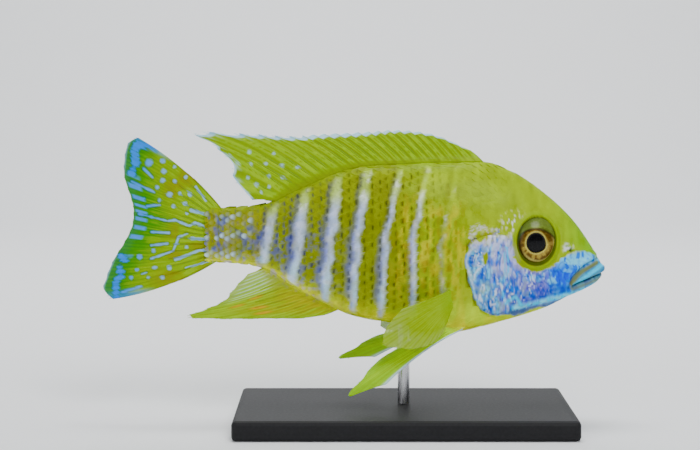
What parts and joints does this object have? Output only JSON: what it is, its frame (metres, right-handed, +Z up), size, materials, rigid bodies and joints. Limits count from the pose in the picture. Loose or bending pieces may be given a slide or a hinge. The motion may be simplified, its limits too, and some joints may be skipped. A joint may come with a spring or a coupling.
{
  "type": "peacock cichlid",
  "caption": "Life-size still model of a male peacock cichlid, swimming with its fins spread, held over a flat base by one slim rod.",
  "frame": {"origin": "middle of the base's underside, below the rod", "axes": "+X towards the fish's snout along its length, +Y towards its left side, +Z up"},
  "size_m": [0.1264, 0.046, 0.074],
  "materials": {
    "yellow_skin": "moist scaled skin, lemon yellow with pale lilac bars",
    "blue_skin": "moist skin with a blue sheen",
    "yellow_fin": "yellow fin membrane over raised rays",
    "green_fin": "yellow-green fin membrane with blue between its rays",
    "pale_fin": "nearly clear fin membrane",
    "gold_eye": "wet golden iris",
    "black_eye": "wet black pupil",
    "dark_stand": "satin black paint",
    "steel": "brushed"
  },
  "bodies": {
    "root": {"head": "yellow_skin", "torso": "yellow_skin", "tail_stalk": "yellow_skin", "upper_jaw": "blue_skin", "lower_jaw": "blue_skin", "gill_cover_left": "blue_skin", "gill_cover_right": "blue_skin", "eye_left": "gold_eye", "eye_right": "gold_eye", "pupil_left": "black_eye", "pupil_right": "black_eye", "dorsal_fin": "yellow_fin", "anal_fin": "yellow_fin", "tail_fin": "green_fin", "pectoral_fin_left": "pale_fin", "pectoral_fin_right": "pale_fin", "pelvic_fin_left": "yellow_fin", "pelvic_fin_right": "yellow_fin", "stand_base": "dark_stand", "stand_rod": "steel"}
  },
  "joints": []
}
